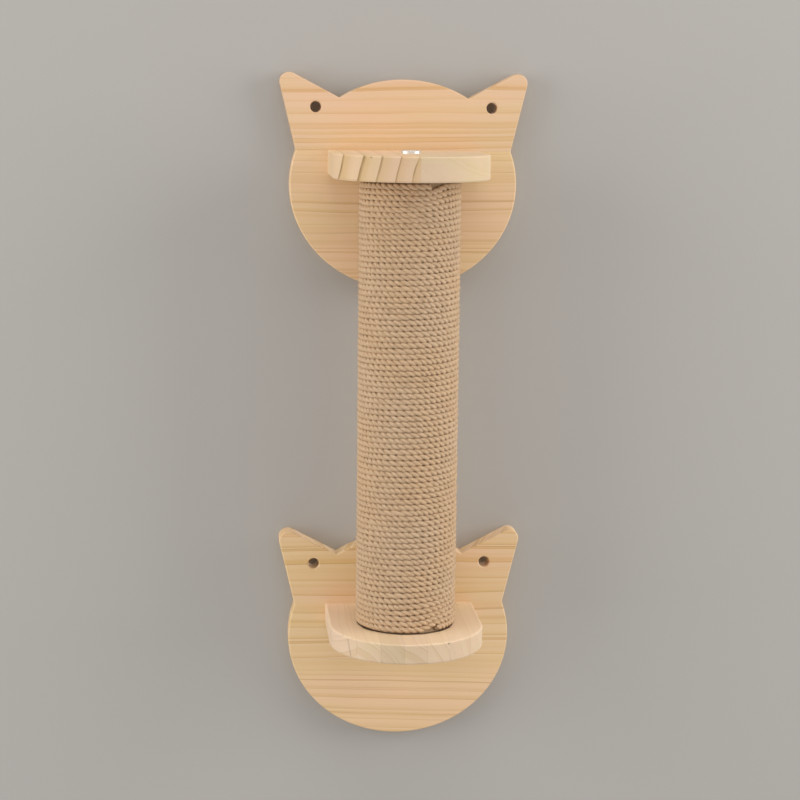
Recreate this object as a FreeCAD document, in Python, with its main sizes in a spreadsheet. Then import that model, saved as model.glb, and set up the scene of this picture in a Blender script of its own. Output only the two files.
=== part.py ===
import FreeCAD, Part
import math
import os
import Sketcher

# Wall-mounted cat scratching post: two pine plates cut as cats' heads, each with a tongue-shaped shelf,
# and a rope-wound post bolted between the shelves.
# Frame: origin at the centre of the four wall holes on the wall plane, +X right, +Y into the wall, +Z up.

# Driving dimensions, in millimetres, degrees and counts
SIZES = {
    # Wall plates
    "head_width": 207.0,
    "head_height": 190.0,
    "plate_thickness": 18.0,
    "plate_edge_round": 1.2,
    "ear_tip_x": 103.8,
    "ear_tip_z": 92.3,
    "ear_tip_radius": 8.5,
    "ear_inner_angle": 27.5,
    "ear_outer_angle": 76.5,
    "top_notch_radius": 1.5,
    "side_notch_radius": 5.0,
    "wall_hole_spacing": 160.0,
    "wall_hole_rise": 70.0,
    "wall_hole_diameter": 10.0,
    "wall_hole_chamfer": 0.8,
    # Shelves
    "shelf_width": 138.0,
    "shelf_reach": 143.5,
    "shelf_edge_round": 1.8,
    "upper_shelf_thickness": 22.0,
    "lower_shelf_thickness": 18.0,
    "upper_shelf_rise": 9.5,
    "lower_shelf_rise": 31.5,
    # Post
    "post_length": 400.0,
    "post_offset": 67.0,
    "tube_diameter": 80.0,
    "tube_wall": 4.0,
    "plug_thickness": 20.0,
    # Rope, wound close: a short gap between turns and at the shelves
    "rope_diameter": 4.5,
    "turn_gap": 0.5,
    "end_turns": 12,
    "shelf_gap": 0.3,
    "lower_end_angle": -40.0,
    "upper_end_angle": -70.0,
    # Post bolts and tee nuts
    "bolt_diameter": 8.0,
    "bolt_clearance": 0.25,
    "bolt_reach": 18.0,
    "bolt_point": 1.0,
    "bolt_head_diameter": 18.0,
    "bolt_head_height": 2.6,
    "bolt_head_bevel": 0.5,
    "socket_width": 5.0,
    "socket_depth": 3.5,
    "nut_barrel_diameter": 10.6,
    "nut_barrel_length": 12.0,
    "nut_flange_diameter": 26.0,
    "nut_flange_thickness": 1.6,
    "prong_count": 4,
    "prong_width": 3.0,
    "prong_thickness": 1.4,
    "prong_length": 6.0,
    # Pins that hold the plugs in the tube
    "pin_count": 4,
    "pin_diameter": 2.0,
    "pin_length": 16.0,
    # Shelf screws and dowels
    "screw_x": 30.0,
    "screw_diameter": 4.0,
    "screw_head_diameter": 8.0,
    "screw_length": 50.0,
    "screw_sink": 0.3,
    "screw_point": 6.0,
    "dowel_x": 52.0,
    "dowel_diameter": 8.0,
    "dowel_length": 30.0,
    "dowel_plate_depth": 12.0,
    "dowel_chamfer": 0.8,
    # Room round glued, screwed and pressed-in pieces
    "fit_clearance": 0.1,
}

doc = FreeCAD.newDocument("scratching_post")
sheet = doc.addObject("Spreadsheet::Sheet", "Sizes")
for row, (alias, number) in enumerate(SIZES.items(), start=1):
    sheet.set(f"A{row}", alias)
    sheet.set(f"B{row}", str(number))
    sheet.setAlias(f"B{row}", alias)
doc.recompute()

# Heights and depths of the pieces, from the driving dimensions
PLATE_SPACING = "(Sizes.post_length + Sizes.lower_shelf_rise - Sizes.upper_shelf_rise)"
UPPER_HEAD_Z = f"({PLATE_SPACING} / 2 - Sizes.wall_hole_rise)"
LOWER_HEAD_Z = f"(-{PLATE_SPACING} / 2 - Sizes.wall_hole_rise)"
POST_BOTTOM_Z = f"({LOWER_HEAD_Z} + Sizes.lower_shelf_rise)"
POST_TOP_Z = f"({POST_BOTTOM_Z} + Sizes.post_length)"
POST_Y = "(-Sizes.plate_thickness - Sizes.post_offset)"
LOWER_SHELF_Z = f"({POST_BOTTOM_Z} - Sizes.lower_shelf_thickness)"
UPPER_SHELF_TOP_Z = f"({POST_TOP_Z} + Sizes.upper_shelf_thickness)"

# Height of the screws and dowels above each head's centre: the middle of the shelf's back edge
UPPER_FIXING_RISE = "(Sizes.upper_shelf_rise + Sizes.upper_shelf_thickness / 2)"
LOWER_FIXING_RISE = "(Sizes.lower_shelf_rise - Sizes.lower_shelf_thickness / 2)"

# Holes that take a fastener
BOLT_HOLE = "(Sizes.bolt_diameter + 2 * Sizes.bolt_clearance)"
SCREW_HOLE = "(Sizes.screw_diameter + 2 * Sizes.fit_clearance)"
DOWEL_HOLE = "(Sizes.dowel_diameter + 2 * Sizes.fit_clearance)"
PIN_HOLE = "(Sizes.pin_diameter + 2 * Sizes.fit_clearance)"
PIN_RISE = "(Sizes.plug_thickness / 2)"
PIN_INNER_END = "(Sizes.tube_diameter / 2 - Sizes.fit_clearance - Sizes.pin_length)"
TUBE_BORE = "(Sizes.tube_diameter - 2 * Sizes.tube_wall)"

Y_AXIS = FreeCAD.Vector(0, 1, 0)
Z_AXIS = FreeCAD.Vector(0, 0, 1)
UPRIGHT = FreeCAD.Rotation()
UPSIDE_DOWN = FreeCAD.Rotation(Y_AXIS, 180)
NEAR = 1e-4
HEX_SIDES = 6


def size(expression):
    """The number that an expression over the sheet stands for."""
    return float(sheet.evalExpression(expression))


def point(x, y):
    return FreeCAD.Vector(x, y, 0)


def place(piece, x="0", y="0", z="0", turn=UPRIGHT):
    """Put a piece at a place given by expressions."""
    piece.Placement = FreeCAD.Placement(FreeCAD.Vector(size(x), size(y), size(z)), turn)
    for axis, expression in (("x", x), ("y", y), ("z", z)):
        piece.setExpression(f"Placement.Base.{axis}", expression)


def new_body(label):
    body = doc.addObject("PartDesign::Body", label)
    body.Label = label
    return body


def origin_feature(body, role):
    return next(feature for feature in body.Origin.OriginFeatures if feature.Role == role)


def new_sketch(body, name, role, offset="0"):
    """A sketch on one of the body's origin planes, moved along the plane's normal."""
    sketch = body.newObject("Sketcher::SketchObject", name)
    sketch.AttachmentSupport = [(origin_feature(body, role), "")]
    sketch.MapMode = "FlatFace"
    sketch.setExpression("AttachmentOffset.Base.z", offset)
    return sketch


def constrain(sketch, kind, *where):
    sketch.addConstraint(Sketcher.Constraint(kind, *where))


def dimension(sketch, kind, *where, expression):
    """A constraint whose value is bound to an expression over the sheet."""
    number = size(expression)
    if kind == "Angle":
        number = math.radians(number)
    index = sketch.addConstraint(Sketcher.Constraint(kind, *where, number))
    sketch.setExpression(f"Constraints[{index}]", expression)


def locate(sketch, geometry, end, x="0", y="0"):
    """Fix a point of the sketch at a place of either sign, from the sketch's origin."""
    for kind, expression, axis in (("DistanceX", x, -2), ("DistanceY", y, -1)):
        number = size(expression)
        if abs(number) < NEAR:
            constrain(sketch, "PointOnObject", geometry, end, axis)
        elif number > 0:
            dimension(sketch, kind, -1, 1, geometry, end, expression=expression)
        else:
            dimension(sketch, kind, geometry, end, -1, 1, expression=f"-({expression})")


def add_circle(sketch, diameter, x="0", y="0"):
    centre = point(size(x), size(y))
    circle = sketch.addGeometry(Part.Circle(centre, Z_AXIS, size(diameter) / 2))
    dimension(sketch, "Diameter", circle, expression=diameter)
    locate(sketch, circle, 3, x, y)


def add_polygon(sketch, corners):
    """A closed outline of straight lines through corners given as pairs of expressions."""
    places = [point(size(x), size(y)) for x, y in corners]
    lines = []
    for start, end in zip(places, places[1:] + places[:1]):
        lines.append(sketch.addGeometry(Part.LineSegment(start, end)))
    for line, following in zip(lines, lines[1:] + lines[:1]):
        constrain(sketch, "Coincident", line, 2, following, 1)
    for line, (x, y) in zip(lines, corners):
        locate(sketch, line, 1, x, y)


def extrude(body, kind, sketch, name, length, reverse):
    feature = body.newObject(f"PartDesign::{kind}", name)
    feature.Profile = sketch
    feature.setExpression("Length", length)
    feature.Reversed = reverse
    doc.recompute()
    return feature


def pad(body, sketch, name, length, reverse=False):
    return extrude(body, "Pad", sketch, name, length, reverse)


def pocket(body, sketch, name, length, reverse=False):
    """A cut from the sketch's plane, which has to take something away."""
    before = body.Shape.Volume
    feature = extrude(body, "Pocket", sketch, name, length, reverse)
    if body.Shape.Volume > before - NEAR:
        raise RuntimeError(f"{body.Label}: {name} cuts nothing")
    return feature


def revolve(body, sketch, name):
    """A full turn of the sketch about its upright axis."""
    feature = body.newObject("PartDesign::Revolution", name)
    feature.Profile = sketch
    feature.ReferenceAxis = (sketch, ["V_Axis"])
    feature.Angle = 360
    doc.recompute()
    return feature


def mirror(body, originals, name):
    """The right-hand features again on the left."""
    feature = body.newObject("PartDesign::Mirrored", name)
    feature.Originals = originals
    feature.MirrorPlane = (origin_feature(body, "YZ_Plane"), [""])
    body.Tip = feature
    doc.recompute()


def ring(body, original, name, count):
    """The feature repeated round the body's upright axis."""
    feature = body.newObject("PartDesign::PolarPattern", name)
    feature.Originals = [original]
    feature.Axis = (origin_feature(body, "Z_Axis"), [""])
    feature.Angle = 360
    feature.setExpression("Occurrences", count)
    body.Tip = feature
    doc.recompute()


def dress(body, kind, name, wanted, amount):
    """A fillet or chamfer on every edge of the body that the wanted function picks."""
    base = body.Tip
    edges = [f"Edge{i}" for i, edge in enumerate(base.Shape.Edges, start=1) if wanted(edge)]
    feature = body.newObject(f"PartDesign::{kind}", name)
    feature.Base = (base, edges)
    feature.setExpression("Radius" if kind == "Fillet" else "Size", amount)
    doc.recompute()


def is_hole_rim(edge):
    return isinstance(edge.Curve, Part.Circle) and edge.isClosed()


def hole_rim(diameter, y):
    """Picks the rims of holes of one diameter in a plane of constant y."""
    def wanted(edge):
        if not is_hole_rim(edge):
            return False
        return abs(edge.Curve.Radius - size(diameter) / 2) < NEAR and abs(edge.Curve.Center.y - y) < NEAR
    return wanted


# Head: an ellipse about the plate's centre
def head_outline(body):
    sketch = new_sketch(body, "HeadOutline", "XZ_Plane")
    across = (point(size("Sizes.head_width / 2"), 0), "Sizes.head_width", "Horizontal")
    upright = (point(0, size("Sizes.head_height / 2")), "Sizes.head_height", "Vertical")
    major, minor = sorted((across, upright), key=lambda axis: axis[0].Length, reverse=True)
    ellipse = sketch.addGeometry(Part.Ellipse(major[0], minor[0], point(0, 0)))
    sketch.exposeInternalGeometry(ellipse)
    major_line, minor_line = ellipse + 1, ellipse + 2
    constrain(sketch, "Coincident", ellipse, 3, -1, 1)
    constrain(sketch, major[2], major_line)
    dimension(sketch, "Distance", major_line, expression=major[1])
    dimension(sketch, "Distance", minor_line, expression=minor[1])
    return sketch


# Right ear: two straight edges that run from a round tip down into the head
def ear_outline(body):
    sketch = new_sketch(body, "EarOutline", "XZ_Plane")
    inner = math.radians(size("Sizes.ear_inner_angle"))
    outer = math.radians(size("Sizes.ear_outer_angle"))
    radius = size("Sizes.ear_tip_radius")
    centre = point(size("Sizes.ear_tip_x"), size("Sizes.ear_tip_z"))
    inner_end = centre + point(-math.sin(inner), math.cos(inner)) * radius
    outer_end = centre + point(math.sin(outer), -math.cos(outer)) * radius
    inner_root = point(0, inner_end.y - inner_end.x * math.tan(inner))
    outer_root = point(outer_end.x - outer_end.y / math.tan(outer), 0)
    tip_circle = Part.Circle(centre, Z_AXIS, radius)

    inner_edge = sketch.addGeometry(Part.LineSegment(inner_root, inner_end))
    outer_edge = sketch.addGeometry(Part.LineSegment(outer_root, outer_end))
    tip = sketch.addGeometry(Part.ArcOfCircle(tip_circle, outer - math.pi / 2, inner + math.pi / 2))
    upright = sketch.addGeometry(Part.LineSegment(point(0, 0), inner_root))
    level = sketch.addGeometry(Part.LineSegment(point(0, 0), outer_root))
    constrain(sketch, "Tangent", inner_edge, 2, tip, 2)
    constrain(sketch, "Tangent", outer_edge, 2, tip, 1)
    constrain(sketch, "Coincident", upright, 1, -1, 1)
    constrain(sketch, "Coincident", level, 1, -1, 1)
    constrain(sketch, "Coincident", upright, 2, inner_edge, 1)
    constrain(sketch, "Coincident", level, 2, outer_edge, 1)
    constrain(sketch, "PointOnObject", inner_edge, 1, -2)
    constrain(sketch, "PointOnObject", outer_edge, 1, -1)
    dimension(sketch, "Radius", tip, expression="Sizes.ear_tip_radius")
    dimension(sketch, "Angle", inner_edge, expression="Sizes.ear_inner_angle")
    dimension(sketch, "Angle", outer_edge, expression="Sizes.ear_outer_angle")
    locate(sketch, tip, 3, "Sizes.ear_tip_x", "Sizes.ear_tip_z")
    return sketch


# Wall plate: head and ears in one board, wall holes in the ears, screw and dowel holes behind the shelf
def wall_plate(label, head_z, fixing_rise):
    body = new_body(label)
    thickness = "Sizes.plate_thickness"
    front = -size(thickness)
    pad(body, head_outline(body), "Head", thickness)
    ear = pad(body, ear_outline(body), "Ear", thickness)
    wall_sketch = new_sketch(body, "WallHoleOutline", "XZ_Plane")
    add_circle(wall_sketch, "Sizes.wall_hole_diameter", "Sizes.wall_hole_spacing / 2", "Sizes.wall_hole_rise")
    wall_hole = pocket(body, wall_sketch, "WallHole", thickness, reverse=True)
    screw_sketch = new_sketch(body, "ScrewHoleOutline", "XZ_Plane")
    add_circle(screw_sketch, SCREW_HOLE, "Sizes.screw_x", fixing_rise)
    screw_hole = pocket(body, screw_sketch, "ScrewHole", thickness, reverse=True)
    dowel_sketch = new_sketch(body, "DowelHoleOutline", "XZ_Plane", thickness)
    add_circle(dowel_sketch, DOWEL_HOLE, "Sizes.dowel_x", fixing_rise)
    dowel_hole = pocket(body, dowel_sketch, "DowelHole", "Sizes.dowel_plate_depth + Sizes.fit_clearance")
    mirror(body, [ear, wall_hole, screw_hole, dowel_hole], "LeftSide")

    half_width = size("Sizes.head_width / 2")
    half_height = size("Sizes.head_height / 2")
    tip_bearing = size("Sizes.ear_tip_z") / size("Sizes.ear_tip_x")

    def notch(above_ear):
        """Picks the corners where the ears leave the head, above or below the ears."""
        def wanted(edge):
            start, end = edge.firstVertex().Point, edge.lastVertex().Point
            through_board = (start - end).cross(Y_AXIS).Length < NEAR and edge.Length > NEAR
            on_head = abs((start.x / half_width) ** 2 + (start.z / half_height) ** 2 - 1) < NEAR
            above = start.z > tip_bearing * abs(start.x)
            return through_board and on_head and start.z > NEAR and above == above_ear
        return wanted

    def front_outline(edge):
        return abs(edge.CenterOfMass.y - front) < NEAR and not is_hole_rim(edge)

    dress(body, "Fillet", "TopNotches", notch(True), "Sizes.top_notch_radius")
    dress(body, "Fillet", "SideNotches", notch(False), "Sizes.side_notch_radius")
    dress(body, "Fillet", "FrontEdge", front_outline, "Sizes.plate_edge_round")
    wall_rims = hole_rim("Sizes.wall_hole_diameter", front)
    dress(body, "Chamfer", "WallHoleRims", wall_rims, "Sizes.wall_hole_chamfer")
    countersink = "(Sizes.screw_head_diameter - Sizes.screw_diameter) / 2 + Sizes.screw_sink"
    dress(body, "Chamfer", "ScrewCountersinks", hole_rim(SCREW_HOLE, 0), countersink)
    place(body, z=head_z)
    return body


# Shelf: straight-sided board with a half-round front, bolt hole on the post's axis, fixings in its back edge
def shelf(label, thickness, underside_z):
    body = new_body(label)
    half = "Sizes.shelf_width / 2"
    straight = "(Sizes.shelf_reach - Sizes.shelf_width / 2)"
    x, y = size(half), -size(straight)
    outline = new_sketch(body, "BoardOutline", "XY_Plane")
    back = outline.addGeometry(Part.LineSegment(point(-x, 0), point(x, 0)))
    right = outline.addGeometry(Part.LineSegment(point(x, 0), point(x, y)))
    left = outline.addGeometry(Part.LineSegment(point(-x, 0), point(-x, y)))
    half_circle = Part.ArcOfCircle(Part.Circle(point(0, y), Z_AXIS, x), math.pi, 2 * math.pi)
    front = outline.addGeometry(half_circle)
    constrain(outline, "Coincident", back, 1, left, 1)
    constrain(outline, "Coincident", back, 2, right, 1)
    constrain(outline, "Tangent", left, 2, front, 1)
    constrain(outline, "Tangent", right, 2, front, 2)
    constrain(outline, "Vertical", right)
    constrain(outline, "Vertical", left)
    locate(outline, front, 3, y=f"-{straight}")
    locate(outline, back, 2, x=half)
    pad(body, outline, "Board", thickness)

    bolt_sketch = new_sketch(body, "BoltHoleOutline", "XY_Plane")
    add_circle(bolt_sketch, BOLT_HOLE, y="-Sizes.post_offset")
    pocket(body, bolt_sketch, "BoltHole", thickness, reverse=True)
    screw_sketch = new_sketch(body, "ScrewHoleOutline", "XZ_Plane")
    add_circle(screw_sketch, SCREW_HOLE, "Sizes.screw_x", f"{thickness} / 2")
    screw_depth = "Sizes.screw_sink + Sizes.screw_length - Sizes.plate_thickness + Sizes.fit_clearance"
    screw_hole = pocket(body, screw_sketch, "ScrewHole", screw_depth, reverse=True)
    dowel_sketch = new_sketch(body, "DowelHoleOutline", "XZ_Plane")
    add_circle(dowel_sketch, DOWEL_HOLE, "Sizes.dowel_x", f"{thickness} / 2")
    dowel_depth = "Sizes.dowel_length - Sizes.dowel_plate_depth + Sizes.fit_clearance"
    dowel_hole = pocket(body, dowel_sketch, "DowelHole", dowel_depth, reverse=True)
    mirror(body, [screw_hole, dowel_hole], "LeftSide")

    top = size(thickness)

    def outline_edge(edge):
        centre = edge.CenterOfMass
        on_face = min(abs(centre.z), abs(centre.z - top)) < NEAR
        return on_face and centre.y < -NEAR and not is_hole_rim(edge)

    dress(body, "Fillet", "BoardEdges", outline_edge, "Sizes.shelf_edge_round")
    place(body, y="-Sizes.plate_thickness", z=underside_z)
    return body


# Post tube: spiral-wound paper tube, drilled near each end for the plug pins
def post_tube(label):
    body = new_body(label)
    section = new_sketch(body, "TubeSection", "XY_Plane")
    add_circle(section, "Sizes.tube_diameter")
    add_circle(section, TUBE_BORE)
    pad(body, section, "Tube", "Sizes.post_length")
    pin_sketch = new_sketch(body, "PinHoleOutline", "XZ_Plane")
    add_circle(pin_sketch, PIN_HOLE, y=PIN_RISE)
    add_circle(pin_sketch, PIN_HOLE, y=f"(Sizes.post_length - {PIN_RISE})")
    holes = pocket(body, pin_sketch, "PinHoles", "Sizes.tube_diameter", reverse=True)
    ring(body, holes, "PinHoleRings", "Sizes.pin_count")
    place(body, y=POST_Y, z=POST_BOTTOM_Z)
    return body


# One prong of a tee nut, seen from inside the tube, with room round it where it is a slot
def prong_outline(body, name, room):
    sketch = new_sketch(body, name, "XY_Plane", "Sizes.plug_thickness")
    middle = "Sizes.nut_flange_diameter / 2 - Sizes.prong_thickness"
    half_thickness = f"(Sizes.prong_thickness / 2 + {room})"
    half_width = f"(Sizes.prong_width / 2 + {room})"
    inner, outer = f"{middle} - {half_thickness}", f"{middle} + {half_thickness}"
    low, high = f"-{half_width}", half_width
    add_polygon(sketch, [(inner, low), (outer, low), (outer, high), (inner, high)])
    return sketch


# End plug: turned disc flush with the tube's end, bored for the tee nut from inside and pinned all round
def end_plug(label, end_z, turn):
    body = new_body(label)
    disc = new_sketch(body, "DiscOutline", "XY_Plane")
    add_circle(disc, f"{TUBE_BORE} - 2 * Sizes.fit_clearance")
    add_circle(disc, BOLT_HOLE)
    pad(body, disc, "Disc", "Sizes.plug_thickness")
    seat = new_sketch(body, "BarrelSeatOutline", "XY_Plane", "Sizes.plug_thickness")
    add_circle(seat, "Sizes.nut_barrel_diameter + 2 * Sizes.fit_clearance")
    pocket(body, seat, "BarrelSeat", "Sizes.nut_barrel_length + Sizes.fit_clearance")
    slot_sketch = prong_outline(body, "ProngSlotOutline", "Sizes.fit_clearance")
    slot = pocket(body, slot_sketch, "ProngSlot", "Sizes.prong_length + Sizes.fit_clearance")
    ring(body, slot, "ProngSlots", "Sizes.prong_count")
    pin_sketch = new_sketch(body, "PinHoleOutline", "XZ_Plane", f"{PIN_INNER_END} - Sizes.fit_clearance")
    add_circle(pin_sketch, PIN_HOLE, y=PIN_RISE)
    hole = pocket(body, pin_sketch, "PinHole", "Sizes.tube_diameter / 2", reverse=True)
    ring(body, hole, "PinHoles", "Sizes.pin_count")
    place(body, y=POST_Y, z=end_z, turn=turn)
    return body


# Plug pins: plain steel pins driven through the tube's wall into the plug, flush under the rope
def plug_pins(label, end_z, turn):
    body = new_body(label)
    sketch = new_sketch(body, "PinOutline", "XZ_Plane", PIN_INNER_END)
    add_circle(sketch, "Sizes.pin_diameter", y=PIN_RISE)
    pin = pad(body, sketch, "Pin", "Sizes.pin_length")
    ring(body, pin, "Pins", "Sizes.pin_count")
    place(body, y=POST_Y, z=end_z, turn=turn)
    return body


# Tee nut: threaded barrel in the plug, flange and prongs on the plug's inner face
def tee_nut(label, end_z, turn):
    body = new_body(label)
    bore = f"{BOLT_HOLE} / 2"
    barrel = "Sizes.nut_barrel_diameter / 2"
    flange = "Sizes.nut_flange_diameter / 2"
    seat = "Sizes.plug_thickness"
    foot = "Sizes.plug_thickness - Sizes.nut_barrel_length"
    crown = "Sizes.plug_thickness + Sizes.nut_flange_thickness"
    profile = new_sketch(body, "NutProfile", "XZ_Plane")
    corners = [(bore, foot), (barrel, foot), (barrel, seat), (flange, seat), (flange, crown), (bore, crown)]
    add_polygon(profile, corners)
    revolve(body, profile, "Nut")
    prong = pad(body, prong_outline(body, "ProngOutline", "0"), "Prong", "Sizes.prong_length", reverse=True)
    ring(body, prong, "Prongs", "Sizes.prong_count")
    place(body, y=POST_Y, z=end_z, turn=turn)
    return body


# Post bolt: thin flat head with a hex socket, shank through the shelf into the tee nut
def post_bolt(label, shelf_thickness, head_z, turn):
    body = new_body(label)
    length = f"({shelf_thickness} + Sizes.bolt_reach)"
    shank = "Sizes.bolt_diameter / 2"
    head = "Sizes.bolt_head_diameter / 2"
    crown = "-Sizes.bolt_head_height"
    profile = new_sketch(body, "BoltProfile", "XZ_Plane")
    corners = [
        ("0", crown),
        (f"{head} - Sizes.bolt_head_bevel", crown),
        (head, f"{crown} + Sizes.bolt_head_bevel"),
        (head, "0"),
        (shank, "0"),
        (shank, f"{length} - Sizes.bolt_point"),
        (f"{shank} - Sizes.bolt_point", length),
        ("0", length),
    ]
    add_polygon(profile, corners)
    revolve(body, profile, "Bolt")
    socket = new_sketch(body, "SocketOutline", "XY_Plane", crown)
    corner_radius = "Sizes.socket_width / sqrt(3)"
    corners = []
    for side in range(HEX_SIDES):
        bearing = f"{360 * side / HEX_SIDES} deg"
        corners.append((f"{corner_radius} * cos({bearing})", f"{corner_radius} * sin({bearing})"))
    add_polygon(socket, corners)
    pocket(body, socket, "Socket", "Sizes.socket_depth", reverse=True)
    place(body, y=POST_Y, z=head_z, turn=turn)
    return body


def pair(body, profile, name, x):
    """A turned piece on the right, moved out to x, and the same piece on the left."""
    profile.setExpression("AttachmentOffset.Base.x", x)
    turned = revolve(body, profile, name)
    mirror(body, [turned], f"{name}Pair")


# Shelf screws: countersunk wood screws from the plate's back into the shelf's back edge
def shelf_screws(label, fixing_z):
    body = new_body(label)
    head = "Sizes.screw_head_diameter / 2"
    shank = "Sizes.screw_diameter / 2"
    top = "-Sizes.screw_sink"
    neck = f"{top} - (Sizes.screw_head_diameter - Sizes.screw_diameter) / 2"
    tip = f"{top} - Sizes.screw_length"
    profile = new_sketch(body, "ScrewProfile", "XY_Plane")
    corners = [("0", top), (head, top), (shank, neck), (shank, f"{tip} + Sizes.screw_point"), ("0", tip)]
    add_polygon(profile, corners)
    pair(body, profile, "Screw", "Sizes.screw_x")
    place(body, z=fixing_z)
    return body


# Shelf dowels: chamfered wooden dowels, half in the plate and half in the shelf
def shelf_dowels(label, fixing_z):
    body = new_body(label)
    radius = "Sizes.dowel_diameter / 2"
    narrow = f"{radius} - Sizes.dowel_chamfer"
    rear = "Sizes.dowel_plate_depth"
    front = "Sizes.dowel_plate_depth - Sizes.dowel_length"
    profile = new_sketch(body, "DowelProfile", "XY_Plane")
    corners = [
        ("0", rear),
        (narrow, rear),
        (radius, f"{rear} - Sizes.dowel_chamfer"),
        (radius, f"{front} + Sizes.dowel_chamfer"),
        (narrow, front),
        ("0", front),
    ]
    add_polygon(profile, corners)
    pair(body, profile, "Dowel", "Sizes.dowel_x")
    place(body, y="-Sizes.plate_thickness", z=fixing_z)
    return body


def biarc(start, start_way, end, end_way):
    """Two arcs that leave start along start_way, meet smoothly and reach end along end_way."""
    chord = end - start
    ways = start_way + end_way
    turn = 2 * (1 - start_way.dot(end_way))
    along = chord.dot(ways)
    reach = (math.sqrt(along ** 2 + turn * chord.dot(chord)) - along) / turn
    corners = (start + start_way * reach, end - end_way * reach)
    joint = (corners[0] + corners[1]) / 2
    arcs = []
    for first, corner, last in ((start, corners[0], joint), (joint, corners[1], end)):
        middle = (first + last) / 2
        rise = corner - middle
        half_chord = (last - first).Length / 2
        sagitta = half_chord * math.tan(math.atan2(rise.Length, half_chord) / 2)
        arcs.append(Part.Arc(first, middle + rise.normalize() * sagitta, last))
    return arcs


def winding(start_z, start_angle):
    """One unbroken tube of rope: turns that lie level and climb to the next in their last quarter."""
    diameter = size("Sizes.rope_diameter")
    pitch = diameter + size("Sizes.turn_gap")
    turns = int(size("Sizes.end_turns"))
    radius = size("Sizes.tube_diameter / 2 + Sizes.fit_clearance + Sizes.rope_diameter / 2")

    def place_and_way(quarter):
        angle = start_angle + quarter * math.pi / 2
        out = FreeCAD.Vector(math.cos(angle), math.sin(angle), 0)
        level = start_z + pitch * (quarter // 4)
        return out * radius + Z_AXIS * level, Z_AXIS.cross(out)

    quarters = [place_and_way(quarter) for quarter in range(4 * turns)]
    first, first_way = quarters[0]
    last, last_way = quarters[-1]
    lead_in = first - first_way * diameter
    path = [Part.LineSegment(lead_in, first)]
    for (start, start_way), (end, end_way) in zip(quarters, quarters[1:]):
        path.extend(biarc(start, start_way, end, end_way))
    path.append(Part.LineSegment(last, last + last_way * diameter))
    wire = Part.Wire([piece.toShape() for piece in path])
    section = Part.Wire(Part.Circle(lead_in, first_way, diameter / 2).toShape())
    tube = wire.makePipeShell([section], True, False)

    samples = 40
    trail = [spot for piece in path for spot in piece.discretize(Number=samples + 1)[:-1]]
    half_turn = 4 * samples
    apart = []
    for index, here in enumerate(trail):
        for other in trail[index + half_turn:index + 3 * half_turn]:
            apart.append(here.distanceToPoint(other))
    swept_volume = math.pi * diameter ** 2 / 4 * wire.Length
    print(f"rope: {turns} turns, least gap to itself {min(apart) - diameter:.3f} mm")
    print(f"rope: volume over section times length {tube.Volume / swept_volume:.5f}")
    return tube


# Rope: real turns at both ends of the post, and a plain sleeve for the like turns between them
def rope_winding(label):
    diameter = size("Sizes.rope_diameter")
    wound = size("(Sizes.end_turns - 1) * (Sizes.rope_diameter + Sizes.turn_gap)")
    edge = size("Sizes.shelf_gap") + diameter / 2
    length = size("Sizes.post_length")
    lower = winding(edge, math.radians(size("Sizes.lower_end_angle")))
    upper = winding(length - edge - wound, math.radians(size("Sizes.upper_end_angle + 90")))

    inner = size("Sizes.tube_diameter / 2 + Sizes.fit_clearance")
    bottom = FreeCAD.Vector(0, 0, edge + wound + diameter / 2 + size("Sizes.turn_gap"))
    height = length - 2 * bottom.z
    sleeve = Part.makeCylinder(inner + diameter, height, bottom).cut(Part.makeCylinder(inner, height, bottom))
    rope = doc.addObject("Part::Feature", label)
    rope.Label = label
    rope.Shape = Part.makeCompound([lower, sleeve.Solids[0], upper])
    place(rope, y=POST_Y, z=POST_BOTTOM_Z)
    return rope


# The whole post, from the wall outwards
pieces = [
    wall_plate("upper_wall_plate", UPPER_HEAD_Z, UPPER_FIXING_RISE),
    wall_plate("lower_wall_plate", LOWER_HEAD_Z, LOWER_FIXING_RISE),
    shelf("upper_shelf", "Sizes.upper_shelf_thickness", POST_TOP_Z),
    shelf("lower_shelf", "Sizes.lower_shelf_thickness", LOWER_SHELF_Z),
    shelf_screws("upper_shelf_screws", f"{UPPER_HEAD_Z} + {UPPER_FIXING_RISE}"),
    shelf_screws("lower_shelf_screws", f"{LOWER_HEAD_Z} + {LOWER_FIXING_RISE}"),
    shelf_dowels("upper_shelf_dowels", f"{UPPER_HEAD_Z} + {UPPER_FIXING_RISE}"),
    shelf_dowels("lower_shelf_dowels", f"{LOWER_HEAD_Z} + {LOWER_FIXING_RISE}"),
    post_tube("post_tube"),
    end_plug("upper_end_plug", POST_TOP_Z, UPSIDE_DOWN),
    end_plug("lower_end_plug", POST_BOTTOM_Z, UPRIGHT),
    plug_pins("upper_plug_pins", POST_TOP_Z, UPSIDE_DOWN),
    plug_pins("lower_plug_pins", POST_BOTTOM_Z, UPRIGHT),
    tee_nut("upper_tee_nut", POST_TOP_Z, UPSIDE_DOWN),
    tee_nut("lower_tee_nut", POST_BOTTOM_Z, UPRIGHT),
    post_bolt("upper_post_bolt", "Sizes.upper_shelf_thickness", UPPER_SHELF_TOP_Z, UPSIDE_DOWN),
    post_bolt("lower_post_bolt", "Sizes.lower_shelf_thickness", LOWER_SHELF_Z, UPRIGHT),
    rope_winding("rope_winding"),
]

doc.recompute()
for item in doc.Objects:
    if "Invalid" in item.State or "Error" in item.State:
        raise RuntimeError(f"{item.Label} failed: {item.State}")
for piece in pieces:
    if piece.Shape.isNull() or not piece.Shape.isValid():
        raise RuntimeError(f"{piece.Label} has no valid shape")

os.makedirs("parts", exist_ok=True)
for piece in pieces:
    piece.Shape.exportStep(f"parts/{piece.Label}.step")
    print(f"{piece.Label}: {len(piece.Shape.Solids)} solids, {piece.Shape.Volume:.0f} mm3")
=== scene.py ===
import math

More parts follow.
